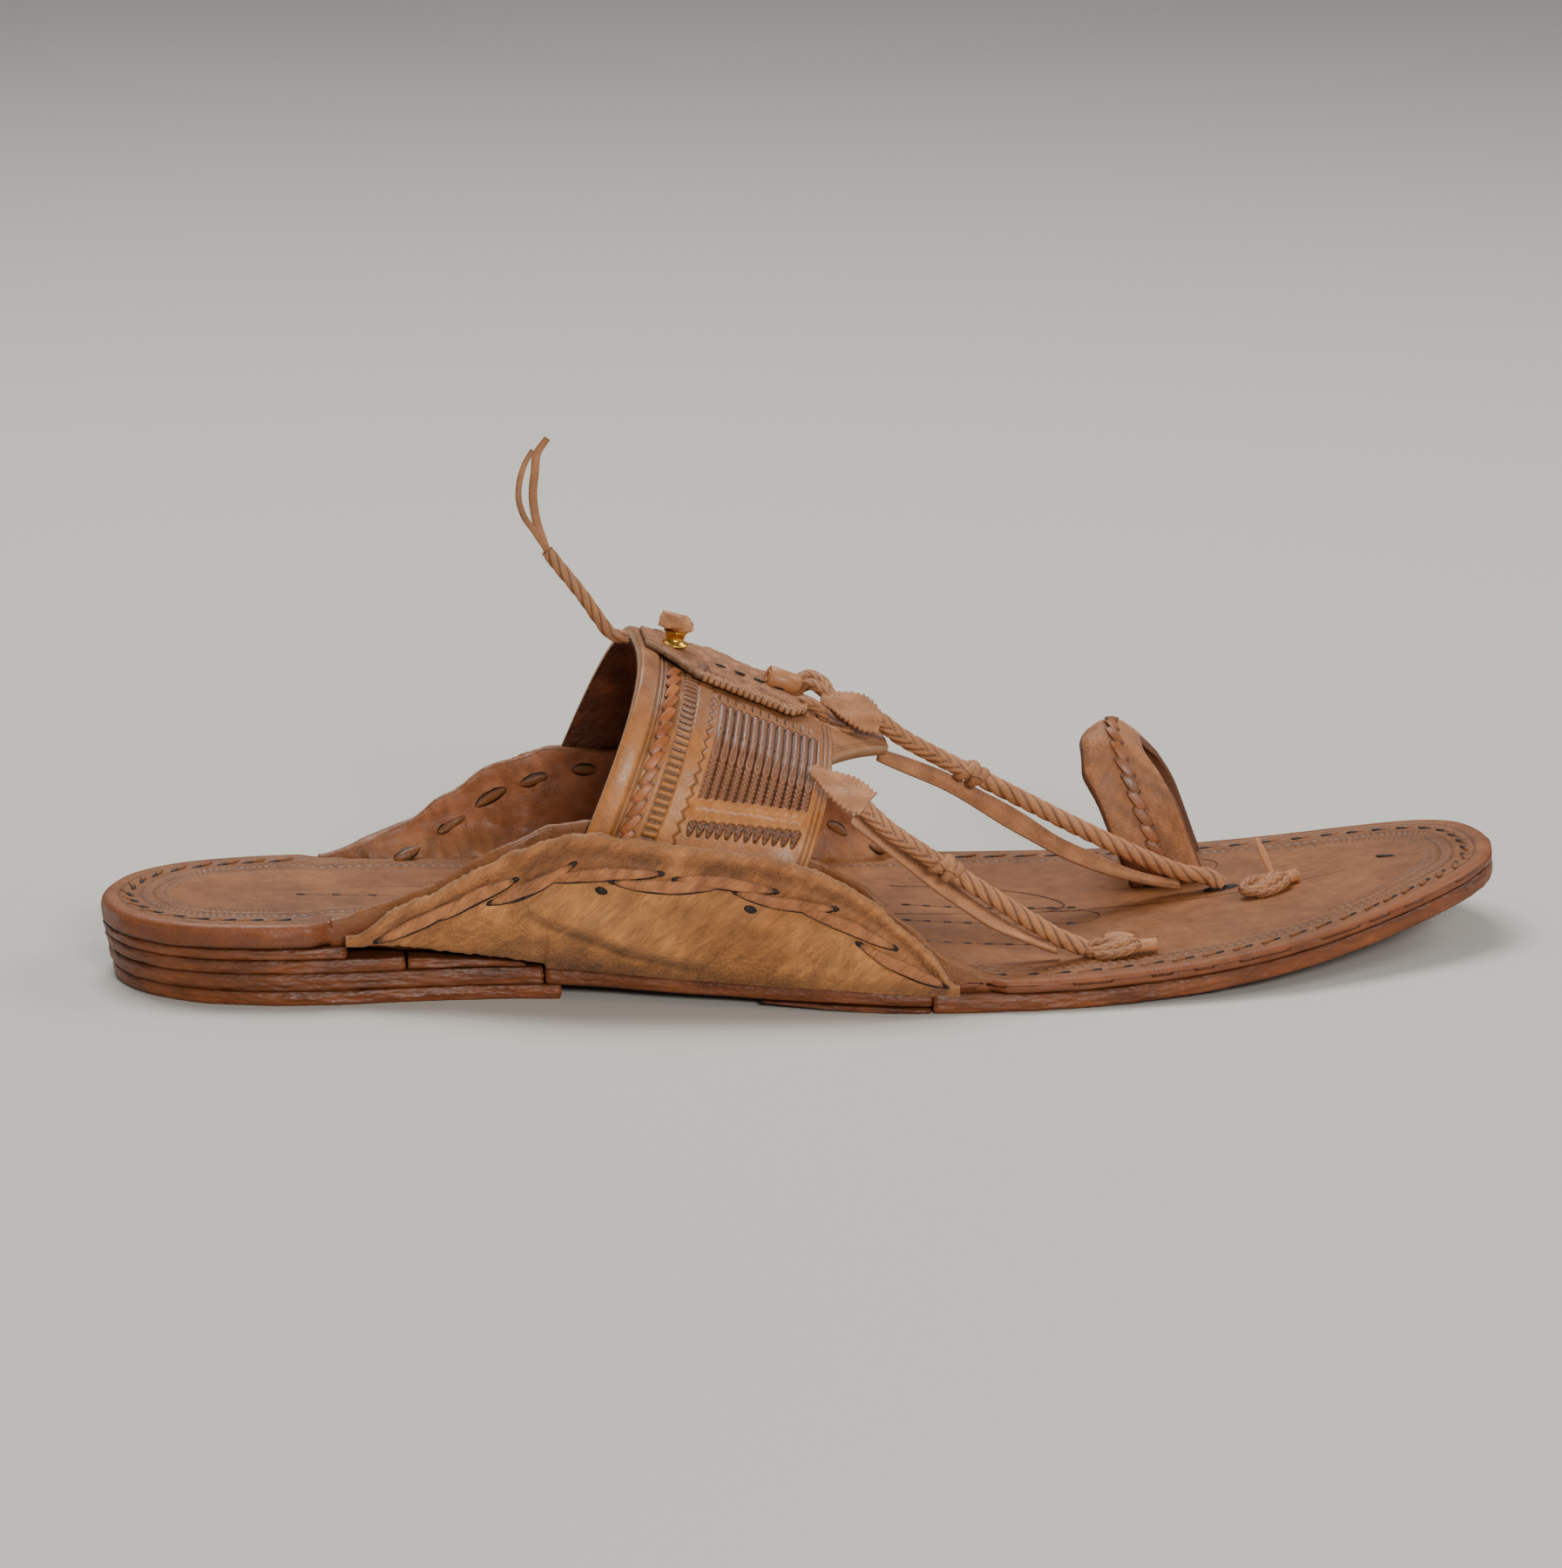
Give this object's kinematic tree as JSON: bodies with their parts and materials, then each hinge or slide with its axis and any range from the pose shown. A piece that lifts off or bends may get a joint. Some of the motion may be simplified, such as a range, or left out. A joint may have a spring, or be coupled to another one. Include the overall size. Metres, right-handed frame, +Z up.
{
  "type": "kolhapuri sandal",
  "caption": "Right flat leather sandal: arched tooled instep band between laced side flaps, plaited toe cords, toe loop, layered sole with a low stacked heel",
  "frame": {"origin": "On the floor under the middle of the sandal's bounding box, with the cord's tail left out", "axes": "+X from heel to toe, +Y to the big-toe (medial) side, +Z up"},
  "size_m": [0.2836, 0.1063, 0.107],
  "materials": {
    "footbed_leather": "burnished, satin",
    "sole_leather": "polished edges",
    "flap_leather": "rough, napped",
    "band_leather": "tooled, glossy",
    "thong_leather": "dry, matt",
    "brass": "polished"
  },
  "bodies": {
    "root": {"insole": "footbed_leather", "outsole": "sole_leather", "outsole_patch": "sole_leather", "heel_lift": "sole_leather", "heel_layer_low": "sole_leather", "heel_layer_high": "sole_leather", "heel_midsole": "sole_leather", "waist_filler": "sole_leather", "flap_lateral": "flap_leather", "flap_medial": "flap_leather", "instep_band": "band_leather", "ridge_strip": "band_leather", "stud_barrel": "brass", "stud_cap": "thong_leather", "ridge_roll": "band_leather", "ridge_knot": "thong_leather", "leaf_upper": "thong_leather", "leaf_lower": "thong_leather", "cord_upper": "thong_leather", "cord_lower": "thong_leather", "strap_upper": "thong_leather", "strap_lower": "thong_leather", "toe_loop": "band_leather", "knot_lateral": "thong_leather", "knot_central": "thong_leather", "tail_braid": "thong_leather", "tail_thong_rear": "thong_leather", "tail_thong_front": "thong_leather"}
  },
  "joints": []
}
